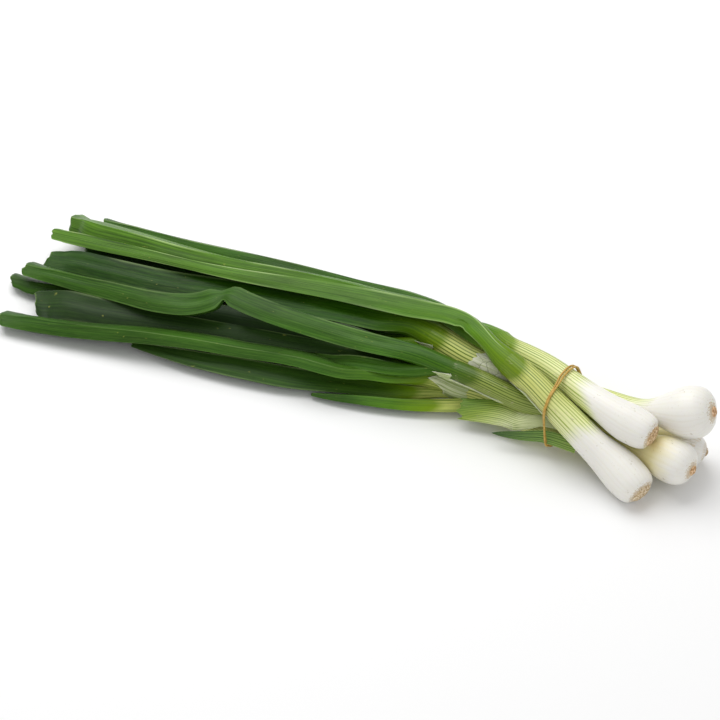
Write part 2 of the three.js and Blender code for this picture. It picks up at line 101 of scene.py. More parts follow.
# %% [markdown]
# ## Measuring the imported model
# A strand is a leaf or a stem seen as a middle line with a half width and a half thickness at
# each distance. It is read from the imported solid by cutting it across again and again: each cut
# is made square to the line found so far, so the line walks down the solid from its root end.

# %% Strands
STEP = 4.0  # distance between cuts
LOOK = 3  # a direction is taken over this length to both sides
NEAR = 30  # what lies further from the middle line belongs to another stretch


class Strand:
    def __init__(self, points, wide, thick):
        self.points = points
        self.wide = wide
        self.thick = thick
        gaps = np.linalg.norm(np.diff(points, axis=0), axis=1)
        self.at = np.concatenate([[0], np.cumsum(gaps)])
        self.length = self.at[-1]

    def read(self, values, distance):
        return np.interp(distance, self.at, values)

    def sizes(self, distance):
        """The half width and the half thickness at a distance."""
        return self.read(self.wide, distance), self.read(self.thick, distance)

    def line(self, distance):
        return np.stack([self.read(self.points[:, k], distance) for k in range(3)], -1)

    def point(self, distance):
        """The middle line at a distance, carried straight on past its ends."""
        distance = np.asarray(distance, float)
        inside = np.clip(distance, 0, self.length)
        return self.line(inside) + self.forward(distance) * (distance - inside)[..., None]

    def forward(self, distance):
        inside = np.clip(distance, LOOK, self.length - LOOK)
        way = self.line(inside + LOOK) - self.line(inside - LOOK)
        return way / np.linalg.norm(way, axis=-1, keepdims=True)


def unit_of(vector):
    return vector / np.linalg.norm(vector)


def corners_of(node):
    """The three corners of every triangle of a CAD node, in millimetres."""
    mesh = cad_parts[node].data
    mesh.calc_loop_triangles()
    place = np.array([v.co for v in mesh.vertices]) / MM
    return place[np.array([t.vertices[:] for t in mesh.loop_triangles])]


def across(forward):
    """Directions to the right of a strand and to its top, with the top kept upwards."""
    side = unit_of(np.cross(forward, [0, 0, 1]))
    return side, np.cross(side, forward)


def cut(corners, point, forward):
    """The points where the triangles cross a plane, as [side, top] offsets from a point."""
    height = (corners - point) @ forward
    found = []
    for i, j in ((0, 1), (1, 2), (2, 0)):
        crossing = height[:, i] * height[:, j] < 0
        a, b = corners[crossing, i], corners[crossing, j]
        share = height[crossing, i] / (height[crossing, i] - height[crossing, j])
        found.append(a + (b - a) * share[:, None])
    side, top = across(forward)
    offsets = (np.concatenate(found) - point) @ np.stack([side, top], 1)
    return offsets[np.linalg.norm(offsets, axis=1) < NEAR]


def smoothed(values, rounds):
    values = values.copy()
    for _ in range(rounds):
        values[1:-1] = (values[:-2] + 2 * values[1:-1] + values[2:]) / 4
    return values


def measure(node, start, forward, rounds=3):
    corners = corners_of(node)
    points, wide, thick = [], [], []
    point, forward = np.array(start, float), np.array(forward, float)
    while len(points) < 200:
        offsets = cut(corners, point, forward)
        if len(offsets) < 6:
            break
        low, high = offsets.min(0), offsets.max(0)
        side, top = across(forward)
        middle = point + side * (low[0] + high[0]) / 2 + top * (low[1] + high[1]) / 2
        if points:
            forward = unit_of(forward + unit_of(middle - points[-1]))
        points.append(middle)
        wide.append((high[0] - low[0]) / 2)
        thick.append((high[1] - low[1]) / 2)
        point = middle + forward * STEP
    wide, thick = smoothed(np.array(wide), 2), smoothed(np.array(thick), 2)
    return Strand(smoothed(np.array(points), rounds), wide, thick)


PLANTS = "abcde"
LEAVES = sorted(name[5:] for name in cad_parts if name.startswith("leaf_"))
FIRST_CUT = 2.5  # the first cut is this far inside the end
stems = {}
for key in PLANTS:
    low, high = box_of(f"root_plate_{key}")
    foot = (low + high) / 2
    corners = corners_of(f"onion_{key}").reshape(-1, 3)
    near = corners[np.linalg.norm(corners - foot, axis=1) < NEAR]
    inward = unit_of(near.mean(0) - foot)
    stems[key] = measure(f"onion_{key}", foot + inward * FIRST_CUT, inward)
    print(f"onion_{key}: {stems[key].length:.0f} mm long, widest {2 * stems[key].wide.max():.1f} mm")
leaves = {}
for key in LEAVES:
    corners = corners_of(f"leaf_{key}").reshape(-1, 3)
    base = corners[corners[:, 0] > corners[:, 0].max() - 3].mean(0)
    stem = stems[key[0]]
    leaves[key] = measure(f"leaf_{key}", base - [FIRST_CUT, 0, 0], stem.forward(stem.length), rounds=2)
    print(f"leaf_{key}: {leaves[key].length:.0f} mm long, {2 * leaves[key].wide.max():.1f} mm wide")

# %% [markdown]
# ## Small corrections
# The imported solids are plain, so a few strands are made a little wider, narrower, higher or lower
# here before finer pieces are built on them. "Higher" is measured across the camera's view.

# %% Corrections
def mended(values, last):
    """Replaces the last values, where the end of a solid was cut off slantwise."""
    values = values.copy()
    values[-last:] = values[-last - 1]
    return values


def adjusted(strand, changes):
    """changes hold (distance, widening, lift) along a strand."""
    at, widening, lift = np.array(changes, float).T
    fine = np.linspace(0, strand.length, int(strand.length / 1.5))
    factor = smoothed(np.interp(fine, at, widening), 6)
    lift = smoothed(np.interp(fine, at, lift), 6)
    wide, thick = strand.sizes(fine)
    return Strand(strand.point(fine) + upward * lift[:, None], wide * factor, thick * factor)


STEM_CHANGES = {
    "a": [(0, 1.03, 0), (20, 1.03, -0.1), (30, 1, 0.2), (50, 1.07, 0.7), (80, 1.05, 0.5), (100, 1, 0)],
    "b": [(0, 1, 0), (24, 1, -0.2), (42, 1.08, -0.9), (70, 1.08, -0.8), (84, 1.05, -0.7), (104, 0.92, -2)],
    "c": [(0, 1.03, -0.5), (18, 1.02, -0.5), (30, 0.96, -1), (45, 0.96, -0.8), (75, 1, 0), (95, 1, 0),
          (120, 1.2, 0.8), (145, 1.35, 1.2), (165, 1.35, 1)],
    "d": [(0, 1.1, 0), (14, 1.12, 0), (34, 1.08, 0.4), (60, 1, 0), (90, 1, 0), (112, 0.92, -0.6),
          (145, 0.88, -1)],
    "e": [(0, 1, 0), (6, 1, 0.4), (20, 1.2, 2.6), (38, 1.2, 2.4), (62, 0.96, 0.6), (76, 0.86, 1.3),
          (95, 0.92, 0.8), (115, 1, 0)],
}
FOOT_REACH = 24
FOOT_TURNS = {"b": (1.0, 0), "c": (2.6, 1.6), "d": (0.6, -1.2)}  # turned to the camera, and shortened
LEAF_CHANGES = {
    "a1": [(14, 1, 0), (28, 0.9, 0.9), (45, 0.92, 1.3), (62, 1, 0.9), (80, 1.12, 0.2), (110, 1.15, 0),
           (160, 1.1, 0), (220, 1, 0), (262, 1.2, 0.4), (305, 1.35, 0.6)],
    "a2": [(0, 0.7, 0), (20, 0.65, 0.8), (50, 0.85, 1.2), (75, 0.95, 0.8), (100, 1, 0), (130, 1.1, 0),
           (240, 1.45, -0.5), (313, 1.7, -1)],
    "b1": [(10, 1, 0), (22, 0.95, -2.4), (34, 0.88, -4.2), (46, 0.95, -3.2), (60, 1.1, -0.2),
           (80, 1.1, 0.7), (110, 1, 0), (230, 1, 0), (281, 1.1, -0.2)],
    "b2": [(0, 1, 0), (110, 1.05, 0), (165, 1.5, -1.2), (240, 1.5, -1.5), (289, 1.3, -1)],
    "c1": [(25, 1, 0), (45, 1.25, -1.6), (95, 1.25, -1.8), (125, 1.05, 0), (160, 1.03, 0.5),
           (253, 1, 0.3)],
    "c2": [(100, 1, 0), (150, 1.25, 0), (190, 1.3, 1.2), (249, 1.4, 1)],
    "d1": [(0, 1, 0), (118, 1, -0.4), (138, 1, -0.2), (147, 1, 2.4), (154, 1, 0.2), (170, 1.05, -1),
           (205, 1, 0)],
    "d2": [(0, 1, 0), (60, 1.1, 0), (120, 1.15, 0.5), (170, 1.15, 0.5), (225, 1.08, 0), (250, 0.98, 0.4)],
    "d3": [(40, 1, 0), (70, 1, 1.5), (100, 0.9, 3), (130, 0.8, 1), (170, 1, 0)],
    "e2": [(0, 1, 0), (50, 1, 0.2), (90, 1.06, 0.7), (130, 1.06, 0.7), (150, 0.94, 0.8), (189, 0.85, 1.2)],
    "e3": [(0, 1, 0), (15, 1.15, -0.4), (45, 1.1, -0.2), (60, 1, 0), (105, 0.9, 1)],
    "e4": [(0, 1, 0), (15, 0.8, 0.8), (45, 0.75, 1.2), (80, 0.9, 0), (120, 1, 0), (160, 1.2, -0.4),
           (200, 1.6, -1.3), (300, 1.8, -1.8)],
    "e1": [(0, 1, 0), (20, 1.05, 0.5), (40, 1.1, 3.2), (60, 1.05, 4.8), (80, 1, 3.7), (100, 1, 1.6),
           (130, 1, 0)],
}
for key, strand in stems.items():
    strand.wide, strand.thick = mended(strand.wide, 3), mended(strand.thick, 3)
    stems[key] = adjusted(strand, STEM_CHANGES[key])
    near = np.clip(1 - stems[key].at / FOOT_REACH, 0, 1) ** 2
    turned, shortened = FOOT_TURNS.get(key, (0, 0))
    stems[key].points += near[:, None] * (back * turned + stems[key].forward(0) * shortened)
print("corrected stems:", sorted(STEM_CHANGES), "and leaves:", sorted(LEAF_CHANGES))

# %% [markdown]
# ## From a straight tube to a bent one
# Every stem and leaf starts as an open cylinder that lies straight along X. Its long edges are
# cut into rings, its end is extruded inwards to give a wall, and its points are moved in or out
# to give the true thickness. A copy of each point's place in this straight state is kept as an
# attribute, because veins run lengthwise there. At last a Curve modifier lays the tube on its
# middle line, and it is applied.

# %% Straight tubes
TOUCH = 0.01  # points this close to a place count as there
WALL_STEPS = 4


def primitive(add, name, **settings):
    """Adds a primitive and gives it a name."""
    add(**settings)
    piece = bpy.context.object
    piece.name = name
    return piece


def only(piece):
    """Makes one object active and selected, and nothing else."""
    bpy.ops.object.select_all(action="DESELECT")
    piece.select_set(True)
    bpy.context.view_layer.objects.active = piece


def switch(mode):
    bpy.ops.object.mode_set(mode=mode)


def pick(piece, mode, chosen):
    """Selects the points or edges of a piece for which chosen(element) is true."""
    switch("EDIT")
    bpy.ops.mesh.select_mode(type=mode)
    bpy.ops.mesh.select_all(action="DESELECT")
    switch("OBJECT")
    for element in piece.data.vertices if mode == "VERT" else piece.data.edges:
        element.select = bool(chosen(element))
    switch("EDIT")


def straight_tube(name, length, around, rings):
    tube = primitive(
        bpy.ops.mesh.primitive_cylinder_add, name, vertices=around, radius=MM, depth=length * MM,
        end_fill_type="NOTHING", location=(length * MM / 2, 0, 0), rotation=(0, math.pi / 2, 0))
    bpy.ops.object.transform_apply()
    ends = tube.data.vertices
    pick(tube, "EDGE", lambda edge: abs(ends[edge.vertices[0]].co.x - ends[edge.vertices[1]].co.x) > MM)
    bpy.ops.mesh.subdivide_edgering(number_cuts=rings - 1, interpolation="LINEAR")
    switch("OBJECT")
    return tube


def extrude(step=0):
    bpy.ops.mesh.extrude_region_move(TRANSFORM_OT_translate={"value": (step * MM, 0, 0)})


def close_end(tube, distance, wall=None, depth=0):
    """Closes the end of a straight tube, or with a wall leaves it open down to a depth."""
    pick(tube, "VERT", lambda vertex: abs(vertex.co.x / MM - distance) < TOUCH)
    middle = (distance * MM, 0, 0)
    if wall:
        extrude()
        bpy.ops.transform.resize(value=(1, 1 - wall, 1 - wall), center_override=middle)
        for _ in range(WALL_STEPS):
            extrude(-depth / WALL_STEPS)
        middle = ((distance - depth) * MM, 0, 0)
    extrude()
    bpy.ops.transform.resize(value=(1, 0.4, 0.4), center_override=middle)
    extrude()
    bpy.ops.mesh.merge(type="CENTER")
    switch("OBJECT")


def places(piece):
    flat = np.zeros(len(piece.data.vertices) * 3)
    piece.data.vertices.foreach_get("co", flat)
    return flat.reshape(-1, 3) / MM


def move_points(piece, place):
    piece.data.vertices.foreach_set("co", (np.asarray(place) * MM).ravel())
    piece.data.update()


def remember(piece, **layers):
    """Keeps numbers, or lists of three numbers, for all points as attributes."""
    for name, values in layers.items():
        values = np.asarray(values, np.float32)
        kind, field = ("FLOAT_VECTOR", "vector") if values.ndim == 2 else ("FLOAT", "value")
        layer = piece.data.attributes.new(name, kind, "POINT")
        layer.data.foreach_set(field, values.ravel())


def apply(piece, kind, **settings):
    """Gives a piece a modifier with these settings, and applies it."""
    only(piece)
    bpy.ops.object.modifier_add(type=kind)
    modifier = piece.modifiers[-1]
    for name, value in settings.items():
        setattr(modifier, name, value)
    bpy.ops.object.modifier_apply(modifier=modifier.name)


def curve_through(name, spots):
    curve = bpy.data.curves.new(name, "CURVE")
    curve.dimensions = "3D"
    spline = curve.splines.new("POLY")
    spline.points.add(len(spots) - 1)
    for point, spot in zip(spline.points, spots):
        point.co = (*(spot * MM), 1)
    return curve


def lay_on(piece, strand):
    """Bends a straight piece onto a strand with a Curve modifier."""
    line = curve_through("middle_line", strand.point(np.arange(0, strand.length, 2.0)))
    line.twist_mode = "Z_UP"
    guide = added("middle_line", line)
    apply(piece, "CURVE", object=guide, deform_axis="POS_X")
    bpy.data.objects.remove(guide)
    bpy.data.curves.remove(line)
    place = places(piece)
    low = place[:, 2] < 1
    place[low, 2] = np.exp(place[low, 2] - 1)  # what would sink into the floor is pressed up
    move_points(piece, place)
    mend_normals(piece)


def smooth_step(value):
    value = np.clip(value, 0, 1)
    return value * value * (3 - 2 * value)


def mend_normals(piece):
    only(piece)
    switch("EDIT")
    bpy.ops.mesh.select_all(action="SELECT")
    bpy.ops.mesh.remove_doubles(threshold=0.00001)
    bpy.ops.mesh.normals_make_consistent()
    switch("OBJECT")
    bpy.ops.object.shade_smooth_by_angle(angle=math.radians(50))


def paint(piece, finish):
    piece.data.materials.clear()
    piece.data.materials.append(finish)


# %% [markdown]
# ## Finishes
# One recipe colours bulbs, stems and leaves alike. A plant is white at the root and turns green
# step by step along its length, so its colour is read from a ramp at each point's distance from
# the root plate. Two ramps are used, for the pale ridges and for the darker lines between them,
# and fine lengthwise lines choose between the two.

# %% Finish helpers
RAMP_REACH = 440  # length that a colour ramp spans


def colour(code):
    """A #rrggbb colour as linear values."""
    parts = [int(code[k:k + 2], 16) / 255 for k in (1, 3, 5)]
    return tuple(c / 12.92 if c <= 0.04045 else ((c + 0.055) / 1.055) ** 2.4 for c in parts) + (1,)


class Recipe:
    """A material and short ways to add and join its nodes."""

    def __init__(self, name):
        self.material = bpy.data.materials.new(name)
        self.material.use_nodes = True
        self.nodes = self.material.node_tree.nodes
        self.links = self.material.node_tree.links
        self.shader = self.nodes["Principled BSDF"]

    def put(self, socket, value):
        """A value is a link, a number, a list of numbers or a #rrggbb colour."""
        if isinstance(value, bpy.types.NodeSocket):
            self.links.new(value, socket)
        else:
            socket.default_value = colour(value) if isinstance(value, str) else value

    def node(self, kind, inputs=(), **settings):
        made = self.nodes.new("ShaderNode" + kind)
        for name, value in settings.items():
            setattr(made, name, value)
        for name, value in dict(inputs).items():
            self.put(made.inputs[name], value)
        return made

    def math(self, operation, a, b=0.0, clamp=False):
        made = self.node("Math", operation=operation, use_clamp=clamp)
        self.put(made.inputs[0], a)
        self.put(made.inputs[1], b)
        return made.outputs[0]

    def times(self, a, b):
        return self.math("MULTIPLY", a, b)

    def mix(self, share, a, b, blend="MIX"):
        made = self.node("Mix", data_type="RGBA", blend_type=blend)
        self.put(made.inputs[0], share)
        self.put(made.inputs[6], a)
        self.put(made.inputs[7], b)
        return made.outputs[2]

    def cover(self, tone, *layers):
        """Covers a colour with others, each given as (share, colour)."""
        for share, shade in layers:
            tone = self.mix(share, tone, shade)
        return tone

    def ramp(self, value, stops):
        """A stop is (place, grey value or colour)."""
        made = self.node("ValToRGB")
        elements = made.color_ramp.elements
        while len(elements) < len(stops):
            elements.new(0.5)
        for element, (place, shade) in zip(elements, stops):
            element.position = place
            element.color = colour(shade) if isinstance(shade, str) else (shade, shade, shade, 1)
        self.put(made.inputs[0], value)
        return made.outputs[0]

    def attribute(self, name, output="Fac"):
        return self.node("Attribute", attribute_name=name).outputs[output]

    def grain(self, scale, detail=3.0, rough=0.5, stops=None):
        """Noise in the straight state of a piece: scale is cycles per mm along, across, up."""
        spot = self.node("Mapping", {"Vector": self.attribute("straight", "Vector"), "Scale": scale})
        made = self.node("TexNoise", {
            "Vector": spot.outputs[0], "Scale": 1.0, "Detail": detail, "Roughness": rough,
        }).outputs["Fac"]
        return self.ramp(made, stops) if stops else made

    def bump(self, height, strength, distance=0.2):
        made = self.node("Bump", {"Height": height, "Strength": strength, "Distance": distance * MM})
        self.links.new(made.outputs[0], self.shader.inputs["Normal"])

    def set(self, **values):
        for name, value in values.items():
            self.put(self.shader.inputs[name.replace("_", " ")], value)
        return self.material


# %% Plant finish
def plant_finish(name, pale, deep, tint, lines, line_share, gloss, skin, leafy=False):
    """pale, deep and tint are lists of (distance from the root plate, colour); tint shades both."""
    make = Recipe(name)
    place = make.math("DIVIDE", make.attribute("ripe"), RAMP_REACH, clamp=True)
    pale, deep, tint = (make.ramp(place, [(at / RAMP_REACH, code) for at, code in stops])
                        for stops in (pale, deep, tint))
    turn = make.node("SeparateXYZ", {0: make.node("UVMap", uv_map="UVMap").outputs[0]}).outputs[0]
    phase = make.math("ADD", make.times(turn, 2 * math.pi * lines),
                      make.times(make.grain((0.01, 0.2, 0.2), 2), 9))
    wave = make.math("ADD", make.times(make.math("SINE", phase), 0.5), 0.5)
    patchy = make.grain((0.006, 0.6, 0.6), 2, stops=[(0.35, 0.35), (0.6, 1)])
    wave = make.times(make.ramp(wave, [(0.5, 0), (0.95, 1)]), patchy)
    fine = make.grain((0.012, 1.6, 1.6), 4, 0.6, [(0.38, 0), (0.62, 1)])
    both = make.math("ADD", make.times(wave, line_share), make.times(fine, 1 - line_share))
    mask = make.ramp(both, [(0.1, 0), (0.8, 1)])
    if leafy:
        free = make.attribute("free")
        mask = make.times(mask, make.ramp(free, [(0.5, 1), (1, 0.75)]))
    dark, light = (0.7, 1.22) if leafy else (0.96, 1)
    cloud = make.grain((0.03, 0.1, 0.1), stops=[(0.3, dark), (0.7, light)])
    tone = make.mix(free if leafy else 0.8, make.mix(mask, pale, deep), cloud, "MULTIPLY")
    tone = make.mix(1, tone, tint, "MULTIPLY")
    if leafy:
        bloom = make.grain((0.07, 0.9, 0.9), 5, 0.7, [(0.48, 0), (0.75, 0.22)])
        specks = make.grain((0.25, 0.5, 0.5), 2, stops=[(0.71, 0), (0.76, 0.35)])
        # Painted highlight: a pale line along the upper creases of the leaves.
        rim = make.times(make.attribute("rim"), 0.8)
        # Painted shade: leaves that lie in the shadow of others are darkened towards near black.
        tone = make.cover(tone, (bloom, "#6f933e"), (make.attribute("dim"), "#0d1a0c"),
                          # Painted shade darkens the leaf undersides here.
                          (specks, "#a9ab52"), (make.attribute("belly"), "#1f3a12"), (rim, "#b4cd8a"),
                          (make.attribute("inner"), "#3b5520"), (make.attribute("lip"), "#5f7d3a"))
    else:
        foot = make.times(make.attribute("skirt"), 0.4)
        flakes = make.math("ADD", make.grain((1.6, 1.6, 1.6), 3, 0.6), foot)
        flakes = make.ramp(flakes, [(0.68, 0), (0.78, 0.9)])
        marks = make.grain((0.22, 0.42, 0.42), 4, 0.65, [(0.64, 0), (0.68, 0.4)])
        tone = make.cover(tone, (flakes, "#c8b493"), (marks, "#a8a080"))
    make.bump(make.math("SUBTRACT", 1, both), 0.4, 0.1)
    return make.set(Base_Color=tone, Roughness=gloss, Subsurface_Weight=skin,
                    Subsurface_Radius=(0.004, 0.005, 0.002), Subsurface_Scale=1,
                    Specular_IOR_Level=0.15 if leafy else 0.28)


WHITE, CREAM, STRAW = "#efede6", "#e8ebb2", "#d6dd8e"
LIME, SPRING = "#7a9616", "#5e8a24"
MID, DEEP, DARK = "#567f2e", "#2f5618", "#23420f"
FOOT_GAP = 3.8  # from the root plate to the first cut of a stem
MOUTHS = {key: stems[key].length + FOOT_GAP for key in PLANTS}
LAST = 430  # all colours have come to their end here


def stages(white, pale, blade, sheath_tint="#ffffff", leaf_tint="#ffffff", slow=1.0,
           far="#456a22", neck_light_tint="#ffffff"):
    """Colours of the ridges and of the lines, and a tint, from where each stage begins."""
    ridges = [(0, WHITE), (white, WHITE), (pale, CREAM), (blade - 4, STRAW), (blade + 1, LIME),
              (blade + 24 * slow, SPRING), (blade + 60 * slow, MID), (blade + 160, far), (LAST, far)]
    lines = [(0, "#edeae2"), (white, "#edeae0"), (pale, "#9cb048"), (blade - 12, "#66822c"),
             (blade - 3, "#54761a"), (blade + 1, "#64861a"), (blade + 24 * slow, "#3f6a1a"),
             (blade + 60 * slow, DEEP), (blade + 160, DARK), (LAST, DARK)]
    # The neck tint paints light shining through the neck and bouncing between the bulbs.
    tint = [(8, "#ffffff"), (white - 12, neck_light_tint), (pale, neck_light_tint), (pale + 20, sheath_tint), (blade, sheath_tint),
            (blade + 50, leaf_tint)]
    return ridges, lines, tint


# The neck tints of d and e are painted light: a warm yellow glow from light shining through the necks and
# bouncing between the bulbs.
PLANT_STAGES = {
    "a": stages(42, 51, MOUTHS["a"] - 3, "#e8e7cc", "#fdffc8", slow=1.6, far="#5a8430"),
    "b": stages(40, 50, MOUTHS["b"] - 6, "#ffffff", "#e0f4c8", slow=1.2),
    "c": stages(48, 70, MOUTHS["c"], "#ffffe4", "#98c02c", slow=1.8),
    "d": stages(36, 66, MOUTHS["d"] - 5, "#a4b080", "#d8e8be", slow=0.7, neck_light_tint="#fff6c0"),
    "e": stages(42, 66, MOUTHS["e"] + 22, "#ffffdc", "#dce8dc", slow=0.8, neck_light_tint="#f8f1c2"),
}
sheath_finish = {
    key: plant_finish(f"sheath_{key}", *PLANT_STAGES[key], lines=28, line_share=0.85, gloss=0.35,
                      skin=0.1)
    for key in PLANTS
}
leaf_finish = {
    key: plant_finish(f"leaf_{key}", *PLANT_STAGES[key], lines=28, line_share=0.3, gloss=0.38,
                      skin=0.08, leafy=True)
    for key in PLANTS
}

# %% [markdown]
# ## Stems and bulbs
# The bulb and the stem are one grown piece. The straight tube takes its radius from the packed
# solid, is rounded in at the root, and gets a low relief of lengthwise ribs.

# %% Stems
RIBS = 28
ROUND = 6.5  # radius of all pieces in the straight state that their grain is read from
BLADE_SIDE = math.radians(130)  # the side on which the green blade reaches furthest down
BLADE_DIP = 9
FOOT_ROUNDING = 3.0  # the bulb closes over this length below the first measured ring
FOOT_SHOULDER = 7.0  # and is round up to this distance above it
FOOT_EDGE = 4  # the underside of the bulb ends here
SKIRT = 1.4  # width of the flaky zone round the root plate
PLATE_SHARES = {"a": 0.92, "b": 0.94, "c": 0.58, "d": 0.62, "e": 0.5}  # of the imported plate's radius
GREEN_AND_BOUNCE_SIDES = {  # the side on which the green reaches down towards the bulb, and how far: partly the plant's own uneven green, partly painted green light reflected onto shaded sides
    "a": (60, 5), "b": (205, 15), "c": (75, 26), "d": (110, 18), "e": (110, 20),
}


def angles_of(unit):
    return np.arctan2(unit[:, 2], -unit[:, 1]), np.hypot(unit[:, 1], unit[:, 2])


def place_round(distance, angle, wide, thick):
    return np.stack([distance, -np.cos(angle) * wide, np.sin(angle) * thick], 1)


def foot_rounding(key, distance):
    """Narrows a bulb at its foot, in a round curve, down to the root plate."""
    share = np.clip((distance + FOOT_ROUNDING) / (FOOT_ROUNDING + FOOT_SHOULDER), 0, 1)
    narrow = plate_radius(key) / stems[key].read(stems[key].wide, FOOT_SHOULDER)
    return narrow + (1 - narrow) * np.sqrt(1 - (1 - share) ** 2.2)


def straightened(points, last):
    """Carries a middle line straight on over its last points."""
    points = points.copy()
    step = (points[-last - 1] - points[-last - 4]) / 3
    points[-last:] = points[-last - 1] + step * np.arange(1, last + 1)[:, None]
    return points


def noise_of(x, y, z):
    """Smooth noise in about -1 to 1 at each of many places."""
    return np.array([noise.noise(place) for place in zip(*np.broadcast_arrays(x, y, z))])


def slow_noise(seed, distance, spread):
    """A gentle wave along a piece that differs from piece to piece."""
    return noise_of(distance / spread, seed * 7.3, 0.5)


def ring_noise(angle, spread, seed):
    """A wave round a piece that meets itself again after one turn."""
    return noise_of(np.cos(angle) * spread, np.sin(angle) * spread, seed)


def plate_radius(key):
    rim = corners_of(f"root_plate_{key}").reshape(-1, 3)
    rim = rim - (rim.max(0) + rim.min(0)) / 2
    return PLATE_SHARES[key] * np.linalg.norm(np.cross(rim, stems[key].forward(0)), axis=1).max()


def stem_piece(key):
    strand = stems[key]
    length = strand.length + FOOT_ROUNDING
    tube = straight_tube(f"stem_{key}", length, 128, int(length / 1.5))
    close_end(tube, 0)
    close_end(tube, length, wall=0.1, depth=10)
    unit = places(tube)
    angle, radius = angles_of(unit)
    distance = unit[:, 0] - FOOT_ROUNDING
    rounding = foot_rounding(key, distance)
    ribs = 0.05 * np.cos(RIBS * angle + 2 * slow_noise(ord(key), distance, 30))
    ribs *= smooth_step((distance - 20) / 30)
    bend = 1 + 0.02 * np.cos(2 * angle + distance / 25)
    wide, thick = strand.sizes(np.maximum(distance, FOOT_SHOULDER))
    wide, thick = wide * rounding * bend + ribs, thick * rounding * bend + ribs
    move_points(tube, place_round(distance, angle, radius * wide, radius * thick))
    reach = np.where(distance < FOOT_EDGE, 10 * rounding * radius, ROUND)
    straight = place_round(distance, angle, reach, reach)
    # Partly the plant's own uneven green, partly painted reflected green light on the shaded side.
    side, depth = GREEN_AND_BOUNCE_SIDES[key]
    low = depth * np.clip(np.cos(angle - math.radians(side)), 0, 1) * smooth_step((distance - 8) / 25)
    low += 2.5 * ring_noise(angle, 2.5, ord(key)) + 3.5 * ring_noise(angle, 8, ord(key))
    low *= 1 - smooth_step((distance - 60) / 25)
    blade = BLADE_DIP * np.cos(angle - BLADE_SIDE) * smooth_step((distance - 50) / 30)
    past_plate = rounding * strand.read(strand.wide, FOOT_SHOULDER) - plate_radius(key)
    skirt = np.clip(1 - past_plate / SKIRT, 0, 1) * (distance < FOOT_EDGE)
    remember(tube, straight=straight, ripe=distance + FOOT_GAP + blade + low, skirt=skirt)
    lay_on(tube, strand)
    paint(tube, sheath_finish[key])
    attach(tube, "root")
    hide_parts(f"onion_{key}")
    print(f"stem_{key}: {len(tube.data.polygons)} faces")


for key in PLANTS:
    stem_piece(key)

# %% [markdown]
# ## Leaves
# A leaf is a hollow tube that lies flattened. The main leaf of each plant is the continuation of
# its outermost sheath, so it starts as thick as the stem; the others come out from inside it.
# Four crease lines run along each leaf: two sides, a ridge on top and one below. The points of
# every ring are shared out between the lines, so that the creases stay crisp, and the sides
# between them are flattened. The cut end is pressed flat and its corners are rounded.

# %% Leaves
ROOT_DEPTH = 11
AROUND = 80
SLANTS = {"a1": 0.4, "a2": 0.6, "b1": 0.8, "b2": -0.6, "c1": -0.3, "c2": 0.4, "c3": -0.3, "d1": 0.2,
          "d2": 0.5, "d3": 0.4, "e1": 0.3, "e4": 0.35}  # slants of the cut ends
RIDGES = {"a1": 62, "a2": 95, "b1": 80, "b2": 100, "c1": 70, "c2": 90, "c3": 100, "d1": 75,
          "d2": 90, "d3": 80, "e1": 112, "e2": 70, "e3": 90, "e4": 85}  # degrees from the far side
CREASE_HIGHLIGHTS = {"a1": 1.0, "a2": 1.0, "b1": 0.8, "c1": 0.35, "d3": 0.6, "e2": 0.6}  # strength of the painted highlight along the creases
PAINTED_SHADE_DIMS = {  # painted shade on leaves that lie in the shadow of others: how dark, and from where to where
    "b2": (0.2, 0, 280), "c1": (0.12, 90, 330), "c2": (0.2, 0, 240), "c3": (0.35, 0, 240),
    "d2": (0.8, 25, 190), "d3": (0.5, 90, 240), "e2": (0.35, 20, 180), "e4": (0.65, 0, 330),
}
PINCHES = {"a1": (25, 9, 0.16), "d1": (149, 4, 0.6)}  # distance, length and depth of a narrow place
LATES = {"e3": 11}  # how much further on the green begins
NICKS = {"a1": (46, 2.0, 1.8)}  # distance, length and depth of a small tear in the near edge
MAIN = ("a1", "b1", "c1", "d1", "e1")
POINTED = ("e2", "e3")
PRESSED = 25  # length at the cut end that is pressed flat
RAGGED_TIP = 6
SLANT_REACH = 36
FLATNESS = 0.8  # how flat the sides between the creases are


def continued_from(stem, strand):
    """The strand of a main leaf, moved to the middle of its stem near the mouth."""
    share = smooth_step((strand.at - ROOT_DEPTH) / 30)
    inside = stem.point(stem.length - ROOT_DEPTH + strand.at)
    points = inside * (1 - share)[:, None] + strand.points * share[:, None]
    return Strand(points, strand.wide, strand.thick)


def creased(angle, lines):
    """Shares the points of a ring out between four crease lines. Gives the new angle, the
    radius of a section with flat sides, and the closeness to a crease."""
    turn = np.mod(angle, 2 * math.pi) / (math.pi / 2)
    side = np.minimum(turn.astype(int), 3)
    share = turn - side
    pick_line = np.arange(len(angle))
    start = lines[side, pick_line]
    gap = lines[(side + 1) % 4, pick_line] + 2 * math.pi * (side == 3) - start
    flat = np.cos(gap / 2) / np.cos(gap * (share - 0.5))
    close = np.clip(1 - (0.5 - np.abs(share - 0.5)) * AROUND / 4, 0, 1)
    return start + share * gap, flat, close


